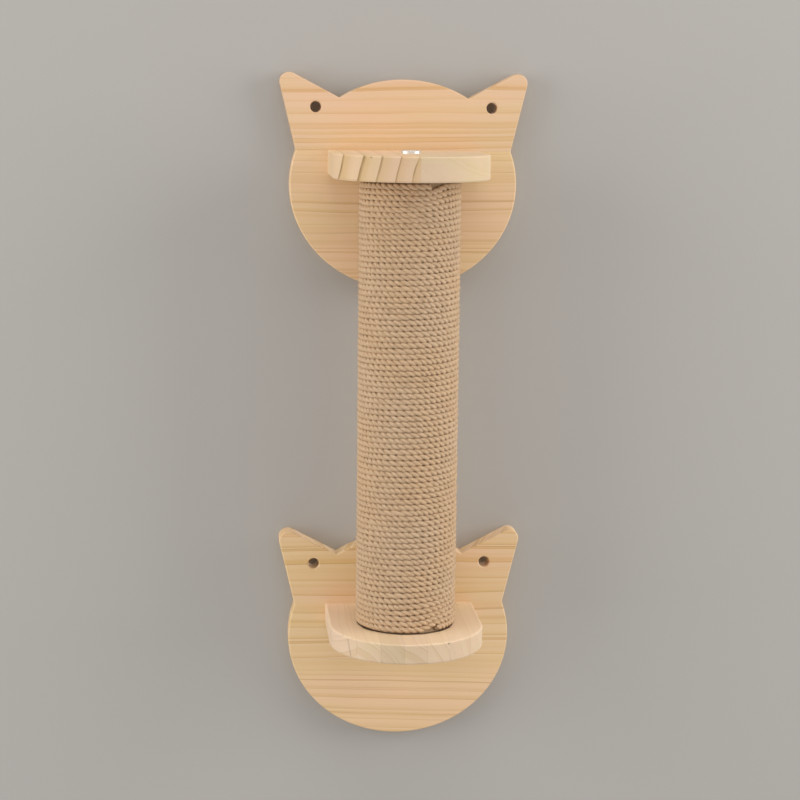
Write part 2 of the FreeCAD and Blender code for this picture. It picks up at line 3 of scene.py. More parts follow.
import bpy
import numpy as np
from mathutils import Matrix, Vector


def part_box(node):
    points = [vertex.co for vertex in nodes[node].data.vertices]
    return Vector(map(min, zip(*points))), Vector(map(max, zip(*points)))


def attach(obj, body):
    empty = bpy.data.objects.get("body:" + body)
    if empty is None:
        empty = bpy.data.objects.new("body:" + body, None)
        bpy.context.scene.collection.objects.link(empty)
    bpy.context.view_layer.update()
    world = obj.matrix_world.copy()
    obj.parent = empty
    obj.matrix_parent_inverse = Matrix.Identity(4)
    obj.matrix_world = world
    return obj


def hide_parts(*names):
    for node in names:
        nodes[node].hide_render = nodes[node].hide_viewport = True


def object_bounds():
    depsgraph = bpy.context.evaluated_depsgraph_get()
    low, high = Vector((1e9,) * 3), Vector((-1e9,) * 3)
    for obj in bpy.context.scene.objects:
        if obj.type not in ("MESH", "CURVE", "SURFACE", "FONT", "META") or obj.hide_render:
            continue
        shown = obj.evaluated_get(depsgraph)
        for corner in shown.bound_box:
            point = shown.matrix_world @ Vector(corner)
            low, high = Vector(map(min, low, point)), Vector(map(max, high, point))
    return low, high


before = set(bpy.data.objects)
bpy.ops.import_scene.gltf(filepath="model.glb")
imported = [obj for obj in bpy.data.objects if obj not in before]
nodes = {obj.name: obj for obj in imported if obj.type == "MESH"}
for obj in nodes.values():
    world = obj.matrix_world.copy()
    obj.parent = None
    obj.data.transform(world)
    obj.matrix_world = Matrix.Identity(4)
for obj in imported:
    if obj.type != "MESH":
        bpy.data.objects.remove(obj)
cad_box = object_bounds()

# Wall plates
# Two pine panels 18 mm thick, each glued from two boards, sawn to a cat's head and eased at the edges.
# Their grain runs level. Each hangs on two screws through the holes in its ears.
UPPER_PLATE_WOOD = [
    # the lower board, paler than the upper one: painted light against the shade of the shelf and the
    # post
    {
        "Early Wood": (0.806, 0.569, 0.334, 1.0),
        "Late Wood": (0.731, 0.490, 0.233, 1.0),
        "Ring Line": (0.500, 0.285, 0.115, 1.0),
        "Ring Spacing": 0.0090,
        "Ring Strength": 0.60,
        "Pith Across": 0.640,
        "Slope": 0.010,
        "Sawn Shade": 0.10,
        "Seed": 3.0,
    },
    {
        "Early Wood": (0.700, 0.480, 0.302, 1.0),
        "Late Wood": (0.648, 0.422, 0.211, 1.0),
        "Ring Line": (0.540, 0.290, 0.110, 1.0),
        "Ring Spacing": 0.0105,
        "Ring Strength": 0.55,
        "Pith Across": 0.700,
        "Slope": 0.020,
        "Edge": 0.172,
        "Sawn Shade": 0.10,
        "Seed": 4.0,
    },
]
LOWER_PLATE_WOOD = [
    {
        "Early Wood": (0.788, 0.552, 0.318, 1.0),
        "Late Wood": (0.710, 0.474, 0.232, 1.0),
        "Ring Line": (0.500, 0.295, 0.125, 1.0),
        "Ring Spacing": 0.0092,
        "Ring Strength": 0.70,
        "Pith Across": 0.250,
        "Slope": -0.040,
        "Sawn Shade": 0.10,
        "Seed": 8.0,
    },
    {
        "Early Wood": (0.768, 0.545, 0.320, 1.0),
        "Late Wood": (0.682, 0.438, 0.184, 1.0),
        "Ring Line": (0.440, 0.240, 0.085, 1.0),
        "Ring Spacing": 0.0145,
        "Ring Strength": 0.70,
        "Pith Across": 0.300,
        "Slope": 0.004,
        "Edge": -0.303,
        "Sawn Shade": 0.10,
        "Seed": 9.0,
    },
]
PLATE_PITH_DEPTH = -0.10
NO_STRIPS = 4.0
NO_EDGE = -4.0
NO_CRACK = 4.0
GLUE_WIDTH = 0.0006
STRIP_PITH_SHIFT = 0.05
RING_SWAY = 0.010
RING_SWAY_SCALE = (5.0, 16.0, 16.0)
RING_FADE_SCALE = (9.0, 60.0, 60.0)
RING_FAINTEST = 0.35
YEAR_SCALE = 30.0
LATE_WOOD_START = 0.15
RING_LINE_START = 0.85
RING_LINE_FULL = 0.95
RING_LINE_END = 0.955
FIBRE_SCALE = (14.0, 1100.0, 1100.0)
CANAL_SCALE = (70.0, 1500.0, 1500.0)
PATCH_SCALE = (7.0, 34.0, 34.0)
PATCH_PINK = (1.02, 0.985, 1.03, 1.0)
PATCH_GOLD = (0.985, 1.0, 0.93, 1.0)
PORE_SCALE = 2600.0
FLECK_SCALE = 48.0
CRACK_LEAN = 0.17
CRACK_CORE = 0.0003
CRACK_EDGE = 0.0008
CRACK_STRENGTH = 1.6
FIBRE_SHADE = 0.10
STRIP_SHADE = 0.12
CANAL_SHADE = -0.05
GLUE_SHADE = -0.09
MARK_SHADE = -0.55
PORE_SHADE = 0.20
PORE_LEVEL = -0.12
WOOD_ROUGHNESS = 0.44
FIBRE_ROUGHNESS = 0.16
SAWN_ROUGHNESS = 0.32
LATE_WOOD_HEIGHT = 0.15
CANAL_HEIGHT = -0.5
GLUE_HEIGHT = -0.3
MARK_HEIGHT = -2.0
GRAIN_DEPTH = 0.00025
GRAIN_RELIEF = 0.35


def new_node(tree, kind, inputs=None, **settings):
    """Adds a shader node, sets it up, and fills or links its sockets."""
    made = tree.nodes.new("ShaderNode" + kind)
    for name, value in settings.items():
        setattr(made, name, value)
    for socket, value in (inputs or {}).items():
        if isinstance(value, bpy.types.NodeSocket):
            tree.links.new(value, made.inputs[socket])
        else:
            made.inputs[socket].default_value = value
    return made


def maths(tree, operation, *values):
    """The result of one step of arithmetic."""
    return new_node(tree, "Math", dict(enumerate(values)), operation=operation).outputs[0]


def ramp(tree, value, low, high, to_low=0.0, to_high=1.0):
    """The value as it eases from to_low at low to to_high at high."""
    inputs = {"Value": value, "From Min": low, "From Max": high, "To Min": to_low, "To Max": to_high}
    eased = new_node(tree, "MapRange", inputs, interpolation_type="SMOOTHSTEP")
    return eased.outputs["Result"]


def mixed(tree, amount, first, second, blend="MIX"):
    """Two colours mixed, or blended, by an amount from 0 to 1."""
    inputs = {0: amount, 6: first, 7: second}
    return new_node(tree, "Mix", inputs, data_type="RGBA", blend_type=blend).outputs[2]


def stretched_noise(tree, place, stretch, detail=2.0, seed=0.0):
    """Noise whose spots are as long as 1 over each part of stretch."""
    scaled = new_node(tree, "VectorMath", {0: place, 1: stretch}, operation="MULTIPLY").outputs[0]
    inputs = {"Vector": scaled, "W": seed, "Scale": 1.0, "Detail": detail}
    return new_node(tree, "TexNoise", inputs, noise_dimensions="4D").outputs["Fac"]


def random_of(tree, value):
    """A random number from 0 to 1 for each whole number."""
    noise = new_node(tree, "TexWhiteNoise", {"W": value}, noise_dimensions="1D")
    return noise.outputs["Value"]


def new_group(name, takes, gives):
    """A shader node group with its named inputs and outputs."""
    tree = bpy.data.node_groups.new(name, "ShaderNodeTree")
    for label, (kind, value) in takes.items():
        socket = tree.interface.new_socket(label, in_out="INPUT", socket_type="NodeSocket" + kind)
        socket.default_value = value
    for label, kind in gives.items():
        tree.interface.new_socket(label, in_out="OUTPUT", socket_type="NodeSocket" + kind)
    taken = tree.nodes.new("NodeGroupInput").outputs
    given = tree.nodes.new("NodeGroupOutput").inputs
    return tree, taken, given


def between(tree, amount, first, second):
    """A value that goes from first to second as the amount goes from 0 to 1."""
    return maths(tree, "MULTIPLY_ADD", maths(tree, "SUBTRACT", second, first), amount, first)


def facing(tree, way):
    """How far a surface faces along a way, from 0 to 1."""
    normal = new_node(tree, "NewGeometry").outputs["Normal"]
    along = new_node(tree, "VectorMath", {0: normal, 1: way}, operation="DOT_PRODUCT")
    return maths(tree, "ABSOLUTE", along.outputs["Value"])


def make_pine():
    """A sawn pine board beside the one laid before it: rings, strips, fibres, end grain and glue."""
    takes = {
        "Place": ("Vector", (0.0, 0.0, 0.0)),
        "Grain": ("Vector", (1.0, 0.0, 0.0)),
        "Face": ("Vector", (0.0, 0.0, 1.0)),
        "Early Wood": ("Color", (0.75, 0.50, 0.29, 1.0)),
        "Late Wood": ("Color", (0.62, 0.36, 0.15, 1.0)),
        "Ring Line": ("Color", (0.50, 0.27, 0.10, 1.0)),
        "Ring Spacing": ("Float", 0.010),
        "Ring Strength": ("Float", 0.6),
        "Ring Unevenness": ("Float", 0.016),
        "Ring Fading": ("Float", 0.0),
        "Pith Across": ("Float", 0.5),
        "Pith Depth": ("Float", PLATE_PITH_DEPTH),
        "Slope": ("Float", 0.0),
        "Strip Width": ("Float", NO_STRIPS),
        "Strip Start": ("Float", -NO_STRIPS / 2.0),
        "Edge": ("Float", NO_EDGE),
        "Crack": ("Float", NO_CRACK),
        "Sawn Shade": ("Float", 0.0),
        "Seed": ("Float", 0.0),
        "Under Color": ("Color", (0.75, 0.50, 0.29, 1.0)),
        "Under Roughness": ("Float", 0.5),
        "Under Height": ("Float", 0.0),
    }
    gives = {"Color": "Color", "Roughness": "Float", "Height": "Float"}
    tree, taken, given = new_group("pine", takes, gives)
    place = taken["Place"]
    seed = taken["Seed"]
    parts = new_node(tree, "SeparateXYZ", {0: place}).outputs

    # the glued strips, each with a pith and a tint of its own
    strip = maths(tree, "SUBTRACT", parts["Y"], taken["Strip Start"])
    strip = maths(tree, "DIVIDE", strip, taken["Strip Width"])
    strip_number = maths(tree, "ADD", maths(tree, "FLOOR", strip), seed)
    strip_chance = random_of(tree, strip_number)
    strip_tint = random_of(tree, maths(tree, "ADD", strip_number, 0.5))
    to_strip = maths(tree, "MULTIPLY", maths(tree, "PINGPONG", strip, 0.5), taken["Strip Width"])
    to_edge = maths(tree, "SUBTRACT", parts["Y"], taken["Edge"])
    to_glue = maths(tree, "MINIMUM", to_strip, maths(tree, "ABSOLUTE", to_edge))
    glue = ramp(tree, to_glue, 0.0, GLUE_WIDTH, 1.0, 0.0)

    # the sawn edges, rougher than the faces, and end grain where the saw cut across the fibres
    sawn = ramp(tree, facing(tree, taken["Face"]), 0.30, 0.90, 1.0, 0.0)
    cut = facing(tree, taken["Grain"])
    end_grain = ramp(tree, cut, 0.45, 0.95)
    fading = maths(tree, "MULTIPLY", ramp(tree, cut, 0.10, 0.50, 1.0, 0.0), taken["Ring Fading"])

    # the growth rings, golden and then dark towards the outside and then sharply pale
    sloped = maths(tree, "MULTIPLY", parts["X"], taken["Slope"])
    across = maths(tree, "SUBTRACT", maths(tree, "SUBTRACT", parts["Y"], sloped), taken["Pith Across"])
    across = maths(tree, "MULTIPLY_ADD", strip_chance, STRIP_PITH_SHIFT, across)
    through = maths(tree, "SUBTRACT", parts["Z"], taken["Pith Depth"])
    square = maths(tree, "ADD", maths(tree, "POWER", across, 2.0), maths(tree, "POWER", through, 2.0))
    sway = stretched_noise(tree, place, RING_SWAY_SCALE, 2.0, seed)
    radius = maths(tree, "MULTIPLY_ADD", sway, RING_SWAY, maths(tree, "SQRT", square))
    year = maths(tree, "MULTIPLY_ADD", radius, YEAR_SCALE, seed)
    year = new_node(tree, "TexNoise", {"W": year, "Detail": 1.0}, noise_dimensions="1D").outputs["Fac"]
    radius = maths(tree, "MULTIPLY_ADD", year, taken["Ring Unevenness"], radius)
    ring = maths(tree, "DIVIDE", radius, taken["Ring Spacing"])
    growth = maths(tree, "FRACT", ring)
    ring_chance = random_of(tree, maths(tree, "ADD", maths(tree, "FLOOR", ring), seed))
    ring_weight = between(tree, ring_chance, RING_FAINTEST, 1.0)
    ring_weight = maths(tree, "MULTIPLY", ring_weight, maths(tree, "SUBTRACT", 1.0, fading))
    edge = ramp(tree, growth, RING_LINE_END, 1.0, 1.0, 0.0)
    late = maths(tree, "MULTIPLY", ramp(tree, growth, LATE_WOOD_START, RING_LINE_FULL), edge)
    late = maths(tree, "MULTIPLY", late, ring_weight)
    fade = stretched_noise(tree, place, RING_FADE_SCALE, 1.0, maths(tree, "ADD", seed, 7.0))
    line = maths(tree, "MULTIPLY", ramp(tree, growth, RING_LINE_START, RING_LINE_FULL), edge)
    line = maths(tree, "MULTIPLY", line, maths(tree, "MULTIPLY", ring_weight, taken["Ring Strength"]))
    line = maths(tree, "MULTIPLY", line, ramp(tree, fade, 0.30, 0.60, RING_FAINTEST, 1.0))

    # fibres and short resin canals along the grain
    fibre = stretched_noise(tree, place, FIBRE_SCALE, 3.0, seed)
    canal = ramp(tree, stretched_noise(tree, place, CANAL_SCALE, 1.0, seed), 0.70, 0.80)
    patch = stretched_noise(tree, place, PATCH_SCALE, 2.0, seed)

    # pores, pitch flecks and a drying crack in the end grain
    inputs = {"Vector": place, "Scale": PORE_SCALE, "Detail": 1.0}
    pores = new_node(tree, "TexNoise", inputs).outputs["Fac"]
    cell = new_node(tree, "TexVoronoi", {"Vector": place, "Scale": FLECK_SCALE}).outputs
    chosen = new_node(tree, "SeparateColor", {0: cell["Color"]}).outputs["Red"]
    fleck = ramp(tree, cell["Distance"], 0.03, 0.07, 1.0, 0.0)
    fleck = maths(tree, "MULTIPLY", fleck, ramp(tree, chosen, 0.5, 0.6))
    leaning = maths(tree, "MULTIPLY_ADD", through, CRACK_LEAN, parts["Y"])
    to_crack = maths(tree, "ABSOLUTE", maths(tree, "SUBTRACT", leaning, taken["Crack"]))
    crack = ramp(tree, to_crack, CRACK_CORE, CRACK_EDGE, CRACK_STRENGTH, 0.0)
    mark = maths(tree, "MULTIPLY", maths(tree, "MAXIMUM", fleck, crack), end_grain)

    colour = mixed(tree, late, taken["Early Wood"], taken["Late Wood"])
    colour = mixed(tree, line, colour, taken["Ring Line"])
    tint = mixed(tree, ramp(tree, patch, 0.3, 0.7), PATCH_PINK, PATCH_GOLD)
    colour = mixed(tree, 1.0, colour, tint, "MULTIPLY")

    # light and dark, the fibres and strips both ways from the middle and the marks only down
    # sawn edges darker by the way they face: partly the duller tone of sawn wood, partly painted shade
    # against their lamp-lit look
    shade = maths(tree, "SUBTRACT", 1.0, maths(tree, "MULTIPLY", sawn, taken["Sawn Shade"]))
    for mask, amount in ((fibre, FIBRE_SHADE), (strip_tint, STRIP_SHADE)):
        part = maths(tree, "MULTIPLY_ADD", mask, amount, 1.0 - amount / 2.0)
        shade = maths(tree, "MULTIPLY", shade, part)
    for mask, amount in ((canal, CANAL_SHADE), (glue, GLUE_SHADE), (mark, MARK_SHADE)):
        shade = maths(tree, "MULTIPLY", shade, maths(tree, "MULTIPLY_ADD", mask, amount, 1.0))
    speckle = maths(tree, "MULTIPLY_ADD", pores, PORE_SHADE, PORE_LEVEL)
    shade = maths(tree, "MULTIPLY_ADD", end_grain, speckle, shade)
    tone = new_node(tree, "CombineColor", {channel: shade for channel in range(3)}).outputs[0]
    colour = mixed(tree, 1.0, colour, tone, "MULTIPLY")

    # the surface that the hand feels
    rough = maths(tree, "MULTIPLY_ADD", fibre, FIBRE_ROUGHNESS, WOOD_ROUGHNESS)
    rough = maths(tree, "MULTIPLY_ADD", sawn, SAWN_ROUGHNESS, rough)
    height = fibre
    heights = (LATE_WOOD_HEIGHT, CANAL_HEIGHT, GLUE_HEIGHT, MARK_HEIGHT)
    for mask, amount in zip((late, canal, glue, mark), heights):
        height = maths(tree, "MULTIPLY_ADD", mask, amount, height)
    beyond = maths(tree, "GREATER_THAN", to_edge, 0.0)
    tree.links.new(mixed(tree, beyond, taken["Under Color"], colour), given["Color"])
    tree.links.new(between(tree, beyond, taken["Under Roughness"], rough), given["Roughness"])
    tree.links.new(between(tree, beyond, taken["Under Height"], height), given["Height"])
    return tree


def new_material(name):
    """A material with its node tree and its main shader."""
    material = bpy.data.materials.new(name)
    material.use_nodes = True
    return material, material.node_tree, material.node_tree.nodes["Principled BSDF"]


def place_group(tree, group, values):
    """A group set into a material with values of its own."""
    return new_node(tree, "Group", values, node_tree=group).outputs


def raise_surface(tree, shader, height, distance, strength):
    """Lets a height show on the shader as relief."""
    inputs = {"Height": height, "Distance": distance, "Strength": strength}
    tree.links.new(new_node(tree, "Bump", inputs).outputs["Normal"], shader.inputs["Normal"])


def wooden(name, axes, boards):
    """A panel of pine boards whose axes name the ways along the grain, across it and through it."""
    material, tree, shader = new_material(name)
    spot = new_node(tree, "SeparateXYZ", {0: new_node(tree, "TexCoord").outputs["Object"]}).outputs
    place = new_node(tree, "CombineXYZ", {i: spot[axis] for i, axis in enumerate(axes)}).outputs[0]
    grain = [float(axis == axes[0]) for axis in "XYZ"]
    face = [float(axis == axes[2]) for axis in "XYZ"]
    ways = {"Place": place, "Grain": grain, "Face": face}
    laid = {}
    for board in boards:
        pine_here = place_group(tree, pine, {**ways, **laid, **board})
        laid = {"Under " + label: pine_here[label] for label in ("Color", "Roughness", "Height")}
    tree.links.new(pine_here["Color"], shader.inputs["Base Color"])
    tree.links.new(pine_here["Roughness"], shader.inputs["Roughness"])
    raise_surface(tree, shader, pine_here["Height"], GRAIN_DEPTH, GRAIN_RELIEF)
    return material


def finish_node(name, material):
    """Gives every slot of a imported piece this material."""
    for slot in nodes[name].material_slots:
        slot.material = material


pine = make_pine()
finish_node("upper_wall_plate", wooden("upper_plate_pine", "XZY", UPPER_PLATE_WOOD))
finish_node("lower_wall_plate", wooden("lower_plate_pine", "XZY", LOWER_PLATE_WOOD))

# Shelves
# Two tongue-shaped boards glued up from pine strips, grain from wall to room,
# so that their round front edge shows end grain. Screws and dowels hold them to the plates.
UPPER_SHELF_WOOD = [
    {
        "Early Wood": (0.800, 0.572, 0.364, 1.0),
        "Late Wood": (0.663, 0.433, 0.195, 1.0),
        "Ring Line": (0.310, 0.185, 0.065, 1.0),
        "Ring Spacing": 0.0150,
        "Ring Strength": 1.40,
        "Ring Fading": 0.65,
        "Ring Unevenness": 0.004,
        "Pith Across": 0.3385,
        "Pith Depth": 0.086,
        "Sawn Shade": 0.20,
        "Seed": 5.0,
    },
    {
        "Early Wood": (0.742, 0.564, 0.371, 1.0),
        "Late Wood": (0.729, 0.549, 0.351, 1.0),
        "Ring Line": (0.700, 0.498, 0.286, 1.0),
        "Ring Spacing": 0.0210,
        "Ring Strength": 0.15,
        "Pith Across": 0.160,
        "Pith Depth": 0.300,
        "Sawn Shade": 0.14,
        "Edge": 0.0015,
        "Seed": 6.0,
    },
]
LOWER_SHELF_WOOD = [
    {
        "Early Wood": (0.800, 0.605, 0.415, 1.0),
        "Late Wood": (0.745, 0.540, 0.345, 1.0),
        "Ring Line": (0.520, 0.350, 0.195, 1.0),
        "Ring Spacing": 0.0120,
        "Ring Strength": 0.60,
        "Ring Fading": 0.65,
        "Pith Across": -0.020,
        "Pith Depth": -0.300,
        "Strip Width": 0.0203,
        "Strip Start": -0.0480,
        "Crack": -0.0470,
        "Sawn Shade": 0.17,
        "Seed": 2.0,
    },
]
upper_shelf_pine = wooden("upper_shelf_pine", "YXZ", UPPER_SHELF_WOOD)
lower_shelf_pine = wooden("lower_shelf_pine", "YXZ", LOWER_SHELF_WOOD)
finish_node("upper_shelf", upper_shelf_pine)
finish_node("lower_shelf", lower_shelf_pine)

# Shelf screws, dowels, plug pins and tee nuts
# Zinc-plated countersunk screws with cross recesses, pressed nuts, steel pins, and beech dowels.
# They join plate to shelf and plug to tube, and only the screw heads show, at the back.
INNER_WOOD = [
    {
        "Early Wood": (0.560, 0.390, 0.240, 1.0),
        "Late Wood": (0.480, 0.310, 0.170, 1.0),
        "Ring Line": (0.380, 0.230, 0.120, 1.0),
        "Ring Spacing": 0.0030,
        "Ring Strength": 0.35,
        "Pith Across": 0.120,
        "Seed": 6.0,
    },
]
ZINC = (0.560, 0.565, 0.560, 1.0)
ZINC_DULL = (0.400, 0.405, 0.395, 1.0)
# darker steel colours, painted shade inside the screws' recesses and the bolts' sockets
RECESS_SHADE_GREY = (0.200, 0.200, 0.195, 1.0)
RECESS_SHADE = (0.060, 0.055, 0.050, 1.0)
SCREW_HEAD_RADIUS = 0.0040
SCREW_RIM_EASE = 0.0001
SCREW_NECK_DEPTH = 0.0025
SCREW_SHANK_RADIUS = 0.0015
SCREW_POINT = 0.0060
SCREW_SHARP_ANGLE = math.radians(40.0)
THREAD_START = 0.0200
THREAD_PITCH = 0.0020
THREAD_CORE = 0.0012
THREAD_RADIUS = 0.0020
THREAD_RINGS = 8
THREAD_RIDGE = 0.25
CROSS_HALF_WIDTH = 0.0006
CROSS_HALF_LENGTH = 0.0023
CROSS_DEPTH = 0.0018
CROSS_FLOOR = 0.8
ZINC_ROUGHNESS = 0.34
RECESS_ROUGHNESS = 0.50
BLOOM_ROUGHNESS = 0.14
RUBBED_SCALE = (900.0, 900.0, 9000.0)
RUBBED_ROUGHNESS = 0.08
RUBBED_RELIEF = 0.4
ZINC_RUBBED_DEPTH = 0.00003


def make_metal_bloom():
    """Plated steel: a cloudy bloom, fine rubbed lines and a roughness that follows them."""
    takes = {
        "Bright": ("Color", ZINC),
        "Dull": ("Color", ZINC_DULL),
        "Base Roughness": ("Float", ZINC_ROUGHNESS),
        "Bloom Size": ("Float", 0.004),
    }
    gives = {"Color": "Color", "Roughness": "Float", "Height": "Float"}
    tree, taken, given = new_group("metal_bloom", takes, gives)
    place = new_node(tree, "TexCoord").outputs["Object"]
    scale = maths(tree, "DIVIDE", 1.0, taken["Bloom Size"])
    cloud = new_node(tree, "TexNoise", {"Vector": place, "Scale": scale, "Detail": 3.0}).outputs["Fac"]
    cloud = ramp(tree, cloud, 0.35, 0.70)
    rubbed = stretched_noise(tree, place, RUBBED_SCALE)
    colour = mixed(tree, cloud, taken["Bright"], taken["Dull"])
    rough = maths(tree, "MULTIPLY_ADD", cloud, BLOOM_ROUGHNESS, taken["Base Roughness"])
    rough = maths(tree, "MULTIPLY_ADD", rubbed, RUBBED_ROUGHNESS, rough)
    tree.links.new(colour, given["Color"])
    tree.links.new(rough, given["Roughness"])
    tree.links.new(rubbed, given["Height"])
    return tree


def plated(name, values, rubbed_depth):
    """A plated steel material."""
    material, tree, shader = new_material(name)
    bloom = place_group(tree, metal_bloom, values)
    tree.links.new(bloom["Color"], shader.inputs["Base Color"])
    tree.links.new(bloom["Roughness"], shader.inputs["Roughness"])
    shader.inputs["Metallic"].default_value = 1.0
    raise_surface(tree, shader, bloom["Height"], rubbed_depth, RUBBED_RELIEF)
    return material


def tube_faces(rings, sides):
    """The four corners of each face of a tube, ring by ring."""
    ring, side = np.meshgrid(np.arange(rings - 1), np.arange(sides), indexing="ij")
    beside = (side + 1) % sides
    here = ring * sides
    following = here + sides
    corners = [here + side, here + beside, following + beside, following + side]
    return np.stack(corners, axis=-1).reshape(-1, 4).tolist()


def tube_caps(rings, sides):
    """The faces that close a tube at its first ring and at its last."""
    first_ring = list(range(sides))
    last_ring = [(rings - 1) * sides + side for side in first_ring]
    return [first_ring[::-1], last_ring]


def new_piece(name, points, faces):
    """A smooth mesh piece, put into the scene."""
    mesh = bpy.data.meshes.new(name)
    mesh.from_pydata(points.reshape(-1, 3).tolist(), [], faces)
    mesh.shade_smooth()
    piece = bpy.data.objects.new(name, mesh)
    bpy.context.scene.collection.objects.link(piece)
    return piece


def cross_reach(angle):
    """How far a cross recess reaches from the screw's axis at an angle that is on no axis of its own."""
    level = np.abs(np.cos(angle))
    upright = np.abs(np.sin(angle))
    level_bar = np.minimum(CROSS_HALF_LENGTH / level, CROSS_HALF_WIDTH / upright)
    upright_bar = np.minimum(CROSS_HALF_LENGTH / upright, CROSS_HALF_WIDTH / level)
    return np.maximum(level_bar, upright_bar)


def turned_screw(length):
    """The rings of a countersunk wood screw, from the floor of its recess over the head to its point."""
    right_angle = math.pi / 2.0
    bar_corner = math.atan2(CROSS_HALF_WIDTH, CROSS_HALF_LENGTH)
    between_bars = [right_angle / 3.0, right_angle / 2.0, right_angle * 2.0 / 3.0]
    quarter = np.array([bar_corner, *between_bars, right_angle - bar_corner])
    angle = np.concatenate([quarter + right_angle * number for number in range(4)])
    round_ring = np.ones(len(angle))
    depths = [CROSS_DEPTH, 0.0, 0.0, SCREW_RIM_EASE, SCREW_NECK_DEPTH, THREAD_START]
    rings = [
        CROSS_FLOOR * CROSS_HALF_WIDTH * round_ring,
        cross_reach(angle),
        (SCREW_HEAD_RADIUS - 2.0 * SCREW_RIM_EASE) * round_ring,
        (SCREW_HEAD_RADIUS - SCREW_RIM_EASE) * round_ring,
        SCREW_SHANK_RADIUS * round_ring,
        SCREW_SHANK_RADIUS * round_ring,
    ]
    for depth in np.arange(THREAD_START, length, THREAD_PITCH / THREAD_RINGS)[1:]:
        climb = depth / THREAD_PITCH - angle / (2.0 * math.pi)
        ridge = np.clip(1.0 - np.abs(climb % 1.0 - 0.5) / THREAD_RIDGE, 0.0, 1.0)
        narrowing = min(1.0, (length - depth) / SCREW_POINT)
        rings.append(narrowing * (THREAD_CORE + (THREAD_RADIUS - THREAD_CORE) * ridge))
        depths.append(depth)
    rings = np.array(rings)
    depths = np.repeat(np.array(depths)[:, None], len(angle), axis=1)
    return np.stack([rings * np.cos(angle), -depths, rings * np.sin(angle)], axis=-1)


def shelf_screws(name, node):
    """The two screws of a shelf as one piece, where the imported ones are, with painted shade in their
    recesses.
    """
    low, high = (Vector(corner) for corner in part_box(node))
    one = turned_screw(high.y - low.y)
    count, sides = one.shape[:2]
    screw_x = high.x - SCREW_HEAD_RADIUS
    places = [np.array([x, high.y, (low.z + high.z) / 2.0]) for x in (-screw_x, screw_x)]
    points = np.stack([one + place for place in places])
    floor, point = tube_caps(count, sides)
    one_screw = [floor, *tube_faces(count, sides), point]
    faces = one_screw + [[corner + count * sides for corner in face] for face in one_screw]
    screws = new_piece(name, points, faces)
    screws.data.set_sharp_from_angle(angle=SCREW_SHARP_ANGLE)
    screws.data.materials.append(zinc_steel)
    screws.data.materials.append(recess_shade_steel)
    # the faces inside the cross recesses take the darker steel, painted shade
    in_recess = np.arange(len(faces)) % len(one_screw) <= sides
    screws.data.polygons.foreach_set("material_index", in_recess.astype(np.int32))
    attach(screws, "root")
    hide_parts(node)


metal_bloom = make_metal_bloom()
zinc_steel = plated("zinc_steel", {}, ZINC_RUBBED_DEPTH)
# darker steel for the cross recesses: painted shade
recess_shade_steel = plated(
    "recess_shade_steel",
    {"Bright": RECESS_SHADE_GREY, "Dull": RECESS_SHADE, "Base Roughness": RECESS_ROUGHNESS},
    ZINC_RUBBED_DEPTH,
)
dowel_wood = wooden("dowel_beech", "YXZ", INNER_WOOD)
for end in ("upper", "lower"):
    finish_node(end + "_shelf_screws", zinc_steel)
    shelf_screws("shelf_screws_" + end, end + "_shelf_screws")
    finish_node(end + "_shelf_dowels", dowel_wood)
    finish_node(end + "_plug_pins", zinc_steel)
    finish_node(end + "_tee_nut", zinc_steel)

# Post tube and its end plugs
# A stiff tube wound from strips of brown paper, with a turned wooden disc pinned into each end.
# The plugs take the nuts that the post's bolts pull on. Painted shade darkens the shelves round its
# ends, in the gap under the rope.
PAPER = (0.420, 0.280, 0.160, 1.0)
PAPER_DARK = (0.310, 0.195, 0.105, 1.0)
PAPER_STRIP = 0.110
PAPER_SEAM = 0.006
PAPER_FLECK_SCALE = 900.0
PAPER_FLECK_ROUGHNESS = 0.2
PAPER_ROUGHNESS = 0.65
PAPER_DEPTH = 0.0002
PAPER_RELIEF = 0.4
# painted shade on the shelves, in the gap under the ends of the rope
FOOT_SHADE_COLOUR = (0.140, 0.088, 0.050, 1.0)
FOOT_REACH = 0.0042
FOOT_EDGE = 0.0008
FOOT_UNEVENNESS = 0.0040
FOOT_PATCH_SCALE = 90.0
FOOT_DEPTH = 0.0005


def wound_paper(name):
    """Brown board with flecks, and the spiral seam of the strip that it is wound from."""
    material, tree, shader = new_material(name)
    place = new_node(tree, "TexCoord").outputs["Object"]
    spot = new_node(tree, "SeparateXYZ", {0: place}).outputs
    around = maths(tree, "ARCTAN2", maths(tree, "SUBTRACT", spot["Y"], POST_Y), spot["X"])
    turn = maths(tree, "DIVIDE", around, 2.0 * math.pi)
    climb = maths(tree, "ADD", maths(tree, "DIVIDE", spot["Z"], PAPER_STRIP), turn)
    seam = ramp(tree, maths(tree, "PINGPONG", climb, 0.5), 0.0, PAPER_SEAM, 1.0, 0.0)
    inputs = {"Vector": place, "Scale": PAPER_FLECK_SCALE, "Detail": 4.0}
    fleck = new_node(tree, "TexNoise", inputs).outputs["Fac"]
    rough = maths(tree, "MULTIPLY_ADD", fleck, PAPER_FLECK_ROUGHNESS, PAPER_ROUGHNESS)
    colour = mixed(tree, ramp(tree, fleck, 0.35, 0.70), PAPER, PAPER_DARK)
    colour = mixed(tree, seam, colour, PAPER_DARK)
    tree.links.new(colour, shader.inputs["Base Color"])
    tree.links.new(rough, shader.inputs["Roughness"])
    raise_surface(tree, shader, maths(tree, "SUBTRACT", fleck, seam), PAPER_DEPTH, PAPER_RELIEF)
    return material


